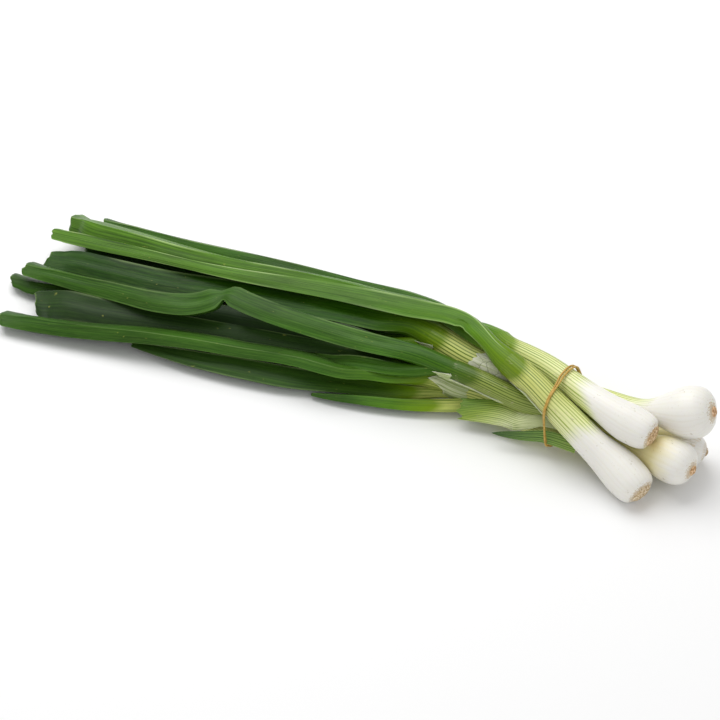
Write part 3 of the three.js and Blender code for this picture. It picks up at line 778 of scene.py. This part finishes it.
def leaf_strand(key):
    """The middle line and the thickness on which a leaf and its skins are built."""
    strand, stem = leaves[key], stems[key[0]]
    if key not in POINTED:
        lost = 2 + int(abs(SLANTS.get(key, 0)) * strand.wide.max() / STEP)
        strand = Strand(straightened(strand.points, lost), mended(strand.wide, lost),
                        mended(strand.thick, lost))
    if key in MAIN:
        strand = continued_from(stem, strand)
    if key in LEAF_CHANGES:
        strand = adjusted(strand, LEAF_CHANGES[key])
    if key in MAIN:
        share = smooth_step((strand.at - ROOT_DEPTH) / 34)
        sheath = stem.wide[-1] * (0.97 + 0.035 * np.clip(strand.at / ROOT_DEPTH, 0, 1))
        strand.wide = sheath * (1 - share) + strand.wide * share
        strand.thick = sheath * (1 - share) + strand.thick * share
    if key in PINCHES:
        where, spread, depth = PINCHES[key]
        pinch = 1 - depth * np.exp(-((strand.at - where) / spread) ** 2)
        strand.wide, strand.thick = strand.wide * pinch, strand.thick * pinch
    return strand


def leaf_piece(key, number):
    strand, stem = leaf_strand(key), stems[key[0]]
    length = strand.length
    cut_off = key not in POINTED
    tube = straight_tube(f"leaf_piece_{key}", length, AROUND, int(length / 2.4))
    close_end(tube, 0)
    close_end(tube, length, wall=0.12 if cut_off else None, depth=22)
    unit = places(tube)
    angle, radius = angles_of(unit)
    left = np.clip(1 - unit[:, 0] / length, 0, 1)
    distance = length * (1 - left ** 1.25)  # more rings near the end
    wide, thick = strand.sizes(distance)
    free = smooth_step((distance - ROOT_DEPTH - 6) / 36)
    drift = slow_noise(number, distance, 110)
    lines = np.radians(np.stack([
        -5 + 12 * slow_noise(number + 30, distance, 90),
        RIDGES[key] + 28 * drift,
        182 + 12 * slow_noise(number + 60, distance, 85),
        265 + 20 * drift,
    ]))
    angle_moved, flat, close = creased(angle, lines)
    angle = angle * (1 - free) + angle_moved * free + 2 * math.pi * (angle < 0) * (1 - free)
    flatness = FLATNESS * free
    shape = 1 - flatness + flatness * flat
    dent = 0.3 * np.clip(slow_noise(number + 50, distance, 50) + 0.1, 0, 1) * free
    hollow = 1 - dent * np.exp(-((np.cos(angle) + 0.3) / 0.4) ** 2) * (np.sin(angle) > 0)
    end = smooth_step((distance - length + PRESSED) / PRESSED) * cut_off
    thick = thick * (1 - 0.5 * end)
    corner = 0.5 * strand.wide[-1] * cut_off
    past = np.clip((distance - length + corner) / max(corner, 1), 0, 1)
    wide = wide * (1 + 0.12 * end) - corner * (1 - np.sqrt(1 - past ** 2))
    across_leaf = np.cos(angle) * wide * radius * shape * (1 + 0.1 * free)
    up_leaf = np.sin(angle) * thick * radius * shape * hollow * (1 + 0.1 * free)
    across_leaf += 0.5 * slow_noise(number + 90, distance, 60) * free
    where, spread, depth = NICKS.get(key, (0, 1, 0))
    across_leaf += depth * np.exp(-((distance - where) / spread) ** 2) * smooth_step(-3 * np.cos(angle) - 1.5)
    slant = smooth_step((distance - length + SLANT_REACH) / SLANT_REACH) * SLANTS.get(key, 0)
    ragged = 1.5 * ring_noise(angle, 1.5, number)
    ragged *= smooth_step((distance - length + RAGGED_TIP) / RAGGED_TIP)
    move_points(tube, np.stack([distance + slant * across_leaf + ragged, -across_leaf, up_leaf], 1))
    start = stem.length - ROOT_DEPTH
    aside = 0 if key in MAIN else number * 20
    straight = place_round(distance + start, angle, ROUND, ROUND) + [0, aside, 0]
    # Painted shade for leaves lying in shadow, faded in and out along the leaf.
    dim, dim_start, dim_end = PAINTED_SHADE_DIMS.get(key, (0, 0, 0))
    dim = dim * smooth_step((distance - dim_start) / 20) * (1 - 0.7 * smooth_step((distance - dim_end) / 40))
    blade = BLADE_DIP * np.cos(angle - BLADE_SIDE) * (1 - smooth_step((distance - 30) / 40))
    late = LATES.get(key, 0) * (1 - smooth_step((distance - 45) / 50))
    ripe = start + FOOT_GAP + distance - late + blade
    # Painted highlight along the creases: broken up along the leaf, on the upper side only, weaker on the
    # near edge.
    highlight_breaks = np.clip(0.5 + 1.6 * slow_noise(number + 20, distance, 28), 0, 1)
    outside = radius > 0.95
    opened = smooth_step((distance - ROOT_DEPTH) / 16)
    on_ridge = np.where(np.cos(angle) > -0.6, 1, 0.45)
    rim = close * (np.sin(angle) > -0.3) * highlight_breaks * opened * outside * on_ridge
    remember(tube, straight=straight, free=free, dim=dim * free, ripe=ripe, rim=rim * CREASE_HIGHLIGHTS.get(key, 0.25),
             # painted shade: the underside of each leaf is darkened
             belly=0.6 * smooth_step(-0.2 - np.sin(angle)) * free * outside,
             inner=(radius < 0.95) & (distance > ROOT_DEPTH),
             lip=(np.abs(distance - length) < TOUCH) * cut_off)
    lay_on(tube, strand)
    paint(tube, leaf_finish[key[0]])
    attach(tube, "root")
    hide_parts(f"leaf_{key}")
    print(f"leaf_piece_{key}: {len(tube.data.polygons)} faces")


for number, key in enumerate(LEAVES):
    leaf_piece(key, number)

# %% [markdown]
# ## Root plates
# The dry disc that the roots grew from: brown, knobbly and speckled.

# %% Root plates
def plate_finish(key, tint):
    make = Recipe(f"root_plate_{key}")
    spot = make.node("TexCoord").outputs["Object"]
    grain = make.node("TexNoise", {"Vector": spot, "Scale": 900, "Detail": 4}).outputs["Fac"]
    cells = make.node("TexVoronoi", {"Vector": spot, "Scale": 1100}).outputs["Distance"]
    tone = make.ramp(grain, [(0.3, "#a1886a"), (0.5, "#ccb592"), (0.65, "#f0e8d6")])
    tone = make.mix(make.ramp(cells, [(0, 0.8), (0.3, 0)]), tone, "#7a6248")
    tone = make.mix(1, tone, tint, "MULTIPLY")
    make.bump(grain, 0.8, 0.5)
    return make.set(Base_Color=tone, Roughness=0.85)


PLATE_THICKNESS = 1.5
PLATE_BELOW = 2.9  # from the first cut of the stem to the middle of the plate
PLATE_TINTS = {"a": "#fffdf6", "b": "#fff2e0", "c": "#ffe6d2", "d": "#ffe6cc", "e": "#ffffff"}


def plate_piece(key):
    strand = stems[key]
    forward = strand.forward(0)
    radius = plate_radius(key)
    plate = primitive(bpy.ops.mesh.primitive_uv_sphere_add, f"plate_{key}", segments=40, ring_count=24,
                      radius=MM)
    unit = places(plate)
    spread = unit * [radius, radius, PLATE_THICKNESS]
    knobs = 0.35 * noise_of(*(spread * 0.9).T) + 0.22 * noise_of(*(spread * 2.3 + 5).T)
    spread += unit * knobs[:, None]
    side, top = across(forward)
    place = strand.point(-PLATE_BELOW) + spread[:, :1] * side + spread[:, 1:2] * top - spread[:, 2:] * forward
    move_points(plate, place)
    mend_normals(plate)
    paint(plate, plate_finish(key, PLATE_TINTS[key]))
    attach(plate, "root")
    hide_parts(f"root_plate_{key}")


for key in PLANTS:
    plate_piece(key)
print("root plates:", len(PLANTS))

# %% [markdown]
# ## The loose strips
# Two strips are caught under the band: the torn base of an old leaf and a short young leaf. Each
# is a thin sheet, curled across its width. A flat grid is given its outline, its curl and its
# wrinkles, gets its thickness from a Solidify modifier, and is then bent like the tubes.

# %% Strips
STRIP_THICKNESS = 0.5
LAYOUT = band_middle - np.array([0, 0, 22])  # the strips are laid out from under the band


def sheet_piece(name, strand, length, cells, outline, thickness, finish):
    """A thin sheet laid on a strand. outline(distance, across), with across in -1 to 1, gives the
    straight places and what is remembered."""
    sheet = primitive(bpy.ops.mesh.primitive_grid_add, name, x_subdivisions=cells[0],
                      y_subdivisions=cells[1], size=2 * MM)
    unit = places(sheet)
    place, kept = outline((unit[:, 0] + 1) / 2 * length, unit[:, 1])
    move_points(sheet, place)
    remember(sheet, **kept)
    for loop, uv in zip(sheet.data.loops, sheet.data.uv_layers["UVMap"].data):
        uv.uv = (unit[loop.vertex_index, 1] / 2 + 0.5, unit[loop.vertex_index, 0] / 2 + 0.5)
    apply(sheet, "SOLIDIFY", thickness=thickness * MM, offset=0)
    paint(sheet, finish)
    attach(sheet, "root")
    lay_on(sheet, strand)
    return sheet


STRIPS = {
    "torn_leaf_base": {
        "route": [(6, -11, 19), (-7.5, -11, 18.5), (-21, -11.5, 15), (-34, -10, 14), (-53, -13, 12)],
        "width": [(0, 2.4), (0.25, 2.8), (0.5, 6), (0.7, 6.6), (1, 5.6)],
        "turn": 0.75, "tear": 5, "ripe": (95, 166), "slot": "torn_sheath",
    },
    "short_leaf": {
        "route": [(12, -15, 11.6), (-4.4, -16.3, 12.9), (-18, -18.2, 10.3), (-33, -21.2, 9.0)],
        "width": [(0, 3.8), (0.3, 3.5), (0.55, 2.8), (0.8, 1.9), (0.92, 1.1), (1, 0.1)],
        "turn": 1.0, "tear": 0, "ripe": (165, 330), "slot": "leaf",
    },
}


def smooth_route(route):
    """A Catmull-Rom line through the points, every 1 mm or so."""
    points = np.array(route, float)
    points = np.vstack([2 * points[0] - points[1], points, 2 * points[-1] - points[-2]])
    share = np.linspace(0, 1, 16, endpoint=False)[:, None]
    runs = []
    for a, b, c, d in zip(points, points[1:], points[2:], points[3:]):
        runs.append(0.5 * (2 * b + (c - a) * share + (2 * a - 5 * b + 4 * c - d) * share ** 2
                           + (3 * b - a - 3 * c + d) * share ** 3))
    return np.vstack(runs + [points[-2:-1]])


def strip_piece(name):
    strip = STRIPS[name]
    points = smooth_route(strip["route"]) + LAYOUT
    strand = Strand(points, np.ones(len(points)), np.ones(len(points)))
    half = np.array(strip["width"])

    def outline(distance, across_strip):
        share = distance / strand.length
        width = np.interp(share, half[:, 0], half[:, 1])
        side = across_strip * width
        up = -1.6 * (side / 6) ** 2 + 0.5 * noise_of(distance / 5, side / 5, 3) * smooth_step(share * 3)
        tear = strip["tear"] * (0.4 + noise_of(side / 2.6, 0, 8))
        tear = tear * smooth_step((share - 0.75) / 0.25)
        turn = strip["turn"]
        place = np.stack([distance + tear, -(side * math.cos(turn) - up * math.sin(turn)),
                          side * math.sin(turn) + up * math.cos(turn)], 1)
        grain = np.stack([distance, side * 2, side * 0], 1)
        low, high = strip["ripe"]
        ripe = low + (high - low) * share + 12 * across_strip * (share > 0.5)
        return place, {"straight": grain, "ripe": ripe}

    piece = sheet_piece(f"{name}_piece", strand, strand.length, (60, 28), outline, STRIP_THICKNESS,
                        strip_finish[name])
    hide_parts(name)


NO_TINT = [(0, "#ffffff"), (LAST, "#ffffff")]
strip_finish = {
    "torn_leaf_base": plant_finish(
        "torn_sheath",
        [(90, "#acb28a"), (112, "#bac090"), (126, "#dde4ae"), (142, "#c0cf7c"), (152, "#98ae4a"),
         (166, "#74943a")],
        [(90, "#84935a"), (112, "#8a9a5c"), (126, "#8ea25a"), (142, "#6b8838"), (152, "#4b7022"),
         (166, "#3c601b")],
        NO_TINT, lines=13, line_share=0.85, gloss=0.5, skin=0.1),
    "short_leaf": plant_finish(
        "short_leaf",
        [(0, "#9cb656"), (165, "#94b052"), (230, "#7a9c4c"), (310, "#4c6a38"), (LAST, "#2c4421")],
        [(0, "#47691f"), (165, "#3d5f1c"), (230, "#2c4c1c"), (310, "#1f3817"), (LAST, "#1a2e14")],
        NO_TINT, lines=6, line_share=0.85, gloss=0.4, skin=0.06),
}
for name in STRIPS:
    strip_piece(name)
print("loose strips:", len(STRIPS))

# %% [markdown]
# ## Thin skins
# Where a leaf leaves its sheath, the sheath ends in a papery margin, and old sheaths leave loose
# scraps on the stems. Each skin is a grid wrapped over part of a stem or leaf, a little above it,
# with ragged ends, fine wrinkles and a curled edge.

# %% Skins
SKIN_THICKNESS = 0.18


def skin_finish(name, base, vein, crackle, green=0):
    make = Recipe(name)
    lines = make.grain((0.03, 1.3, 1.3), 3, 0.6, [(0.42, 0), (0.6, 1)])
    ripe = make.ramp(make.attribute("ripe"), [(0.25, 1), (1, 0.3)])
    spot = make.node("Mapping", {"Vector": make.attribute("straight", "Vector"), "Scale": (0.16, 0.24, 0.24)})
    warp = make.node("TexNoise", {"Vector": spot.outputs[0], "Scale": 2, "Detail": 2}).outputs["Color"]
    bent = make.mix(0.35, spot.outputs[0], warp, "ADD")
    cells = make.node("TexVoronoi", {"Vector": bent, "Scale": 1}, feature="DISTANCE_TO_EDGE")
    net = make.ramp(cells.outputs["Distance"], [(0, crackle), (0.045, 0)])
    # The pale edge is partly the skin's own dry pale margin and partly a painted highlight.
    rim = make.times(make.attribute("rim"), 0.7)
    tone = make.cover(base, (lines, vein), (make.times(ripe, green), "#93a85a"),
                      (net, "#6f7d3a"), (rim, "#eef0dc"))
    make.bump(make.math("SUBTRACT", lines, net), 0.5, 0.2)
    return make.set(Base_Color=tone, Roughness=0.35, Subsurface_Weight=0.2,
                    Subsurface_Radius=(0.003, 0.003, 0.002), Subsurface_Scale=1)


SKIN_FINISHES = {
    "patch": skin_finish("crinkled_skin", "#f4f5d8", "#cdd59e", 0.7),
    "margin": skin_finish("sheath_margin", "#f0f5c8", "#a0b660", 0.0, green=0.5),
    "dry": skin_finish("dry_skin", "#f4efe4", "#e0d3ba", 0.2),
}
# strand, start and end along it, from and to angle in degrees, end shape, wrinkles, lift, finish
SKINS = {
    "patch_c": ("c", 108, 143, 70, 215, "slanted", 0.3, 0.3, "patch"),
    "margin_d": ("d", 104, 150, 198, 262, "even", 0.1, 0.3, "margin"),
    "margin_a": ("a", 60, 101, 192, 262, "slanted", 0.15, 0.25, "margin"),
    "mouth_e": ("e1", -4, 24, 45, 258, "twin", 0.25, 0.5, "margin"),
    "mouth_c": ("c1", 6, 26, 170, 265, "pointed", 0.2, 0.5, "margin"),
    "mouth_d": ("d1", 8, 22, 165, 240, "pointed", 0.2, 0.5, "margin"),
    "dry_e": ("e", 0.4, 17, -120, 235, "ragged", 0.35, 0.5, "dry"),
    "dry_b": ("b", 0.6, 4.6, 50, 125, "ragged", 0.3, 0.35, "dry"),
}
END_SHAPES = {
    "ragged": lambda v: 0.82 + 0 * v,
    "slanted": lambda v: 0.55 + 0.45 * v,
    "even": lambda v: 0.9 + 0.1 * v,
    "twin": lambda v: np.interp(v, [0, 0.1, 0.27, 0.46, 0.62, 1], [0.8, 1, 0.62, 1.05, 0.55, 0.4]),
    "pointed": lambda v: 1 - 0.85 * np.abs(2 * v - 1) ** 1.2,
}
RAGGED = {"patch": 0.14, "margin": 0.06, "dry": 0.16}


def skin_piece(name):
    key, start, stop, low, high, shape, wrinkle, lift, finish = SKINS[name]
    strand, shift = (stems[key], FOOT_GAP) if key in stems else (leaf_strand(key), 0)

    def outline(along, across_skin):
        u, v = along / (stop - start), (across_skin + 1) / 2
        ends = END_SHAPES[shape](v) + RAGGED[finish] * noise_of(v * 9, 0, len(name))
        distance = start - shift + u * ends * (stop - start)
        sides = 8 * noise_of(u * 4, 0, 2 + len(name))
        angle = np.radians(low + v * (high - low) + sides * (2 * v - 1))
        folds = wrinkle * noise_of(distance * 0.3, angle * 3, 4)
        edge = np.abs(2 * v - 1) ** 8 + u ** 8
        off = lift + folds + 0.35 * edge * lift
        if finish == "margin":
            off = off * smooth_step(u * 4) - 0.3 * (1 - smooth_step(u * 4))  # it grows out of the sheath
        close = foot_rounding(key, distance) if key in stems else 1
        wide, thick = strand.sizes(distance)
        # A pale edge, partly the skin's own margin and partly a painted highlight.
        rim = smooth_step((np.maximum(np.abs(2 * v - 1), u) - 0.9) / 0.1)
        kept = {"straight": place_round(distance, angle, ROUND, ROUND), "ripe": u, "rim": rim}
        return place_round(distance, angle, wide * close + off, thick * close + off), kept

    sheet_piece(name, strand, stop - start, (70, 44), outline, SKIN_THICKNESS, SKIN_FINISHES[finish])


for name in SKINS:
    skin_piece(name)
print("thin skins:", len(SKINS))

# %% [markdown]
# ## The rubber band
# One thin band goes twice round the bunch, so two strands lie side by side and cross once. Its
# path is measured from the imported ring, and a curve with a round bevel is made a mesh.

# %% Rubber band
STRAND_RADIUS = 0.55
STRAND_APART = 0.75
CROSSING = math.radians(225)
BAND_POINTS = 260
BAND_SLIDES = ((0, 50, 90, 150, 180, 230, 270, 330, 360),  # angle round the bunch, from the far side
               (0, 3, 5.5, 4.5, 3, 0, -1.5, 0, 0))  # how far the band has slid along the stems there


def band_finish():
    make = Recipe("rubber_band")
    spot = make.node("TexCoord").outputs["Object"]
    grain = make.node("TexNoise", {"Vector": spot, "Scale": 500, "Detail": 3}).outputs["Fac"]
    tone = make.ramp(grain, [(0.3, "#aa822b"), (0.7, "#d3ad56")])
    make.bump(grain, 0.3, 0.1)
    return make.set(Base_Color=tone, Roughness=0.45)


def band_piece():
    ring = corners_of("rubber_band").reshape(-1, 3)
    centre = ring.mean(0)
    ring = ring - centre
    normal = np.linalg.svd(ring, full_matrices=False)[2][2]
    normal *= np.sign(normal[0])
    u = unit_of(np.cross([0, 0, 1], normal))
    v = np.cross(normal, u)
    angle = np.arctan2(ring @ v, ring @ u)
    radius = np.hypot(ring @ v, ring @ u)
    bins = np.linspace(-math.pi, math.pi, 61)
    at, reach = [], []
    for low, high in zip(bins, bins[1:]):
        inside = (angle >= low) & (angle < high)
        if inside.any():
            at.append((low + high) / 2)
            reach.append((radius[inside].min() + radius[inside].max()) / 2)
    spots = []
    for k in range(BAND_POINTS):
        turn = 4 * math.pi * k / BAND_POINTS
        here = (turn + CROSSING) % (2 * math.pi) - math.pi
        degrees = math.degrees(here) % 360
        out = np.interp(here, at, reach, period=2 * math.pi) + 0.5 * math.sin(turn / 2)
        out -= 2.4 * math.exp(-((degrees - 238) / 34) ** 2)
        lift = STRAND_APART * math.cos(turn / 2) * (1 + 0.3 * math.sin(3 * turn))
        spot = centre + out * (math.cos(here) * u + math.sin(here) * v) + lift * normal
        near_side = smooth_step((degrees - 95) / 50)
        way = stems["b"].forward(55) * (1 - near_side) + stems["a"].forward(68) * near_side
        spots.append(spot + way * np.interp(degrees, *BAND_SLIDES))
    curve = curve_through("band_line", spots)
    curve.splines[0].use_cyclic_u = True
    curve.bevel_depth = STRAND_RADIUS * MM
    curve.bevel_resolution = 3
    band = added("band", curve)
    only(band)
    bpy.ops.object.convert(target="MESH")
    band = bpy.context.object
    mend_normals(band)
    paint(band, band_finish())
    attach(band, "root")
    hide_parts("rubber_band")
    print("band:", len(band.data.polygons), "faces")


band_piece()

# %% [markdown]
# ## Floor and light
# A pale floor, a wide soft light above and a bright surround.

# %% Stage
floor = primitive(bpy.ops.mesh.primitive_plane_add, "floor", size=6)
paint(floor, Recipe("floor").set(Base_Color=(0.9, 0.9, 0.9, 1), Roughness=0.9))


def soft_light(name, place, target, size, power):
    light = added(name, bpy.data.lights.new(name, "AREA"))
    light.location = place
    light.rotation_euler = (Vector(target) - Vector(place)).to_track_quat("-Z", "Y").to_euler()
    light.data.size = size
    light.data.energy = power


soft_light("key", (-0.35, 0.25, 1.0), (0, 0, 0), 1.0, 9.9)
soft_light("fill", (0.9, -0.7, 0.7), (0.1, 0, 0), 0.9, 1.5)
world = bpy.data.worlds.new("surround")
bpy.context.scene.world = world
world.use_nodes = True
sky = world.node_tree.nodes["Background"].inputs
sky["Color"].default_value = (1, 1, 1, 1)
sky["Strength"].default_value = 0.56
bpy.context.scene.view_settings.view_transform = "Standard"
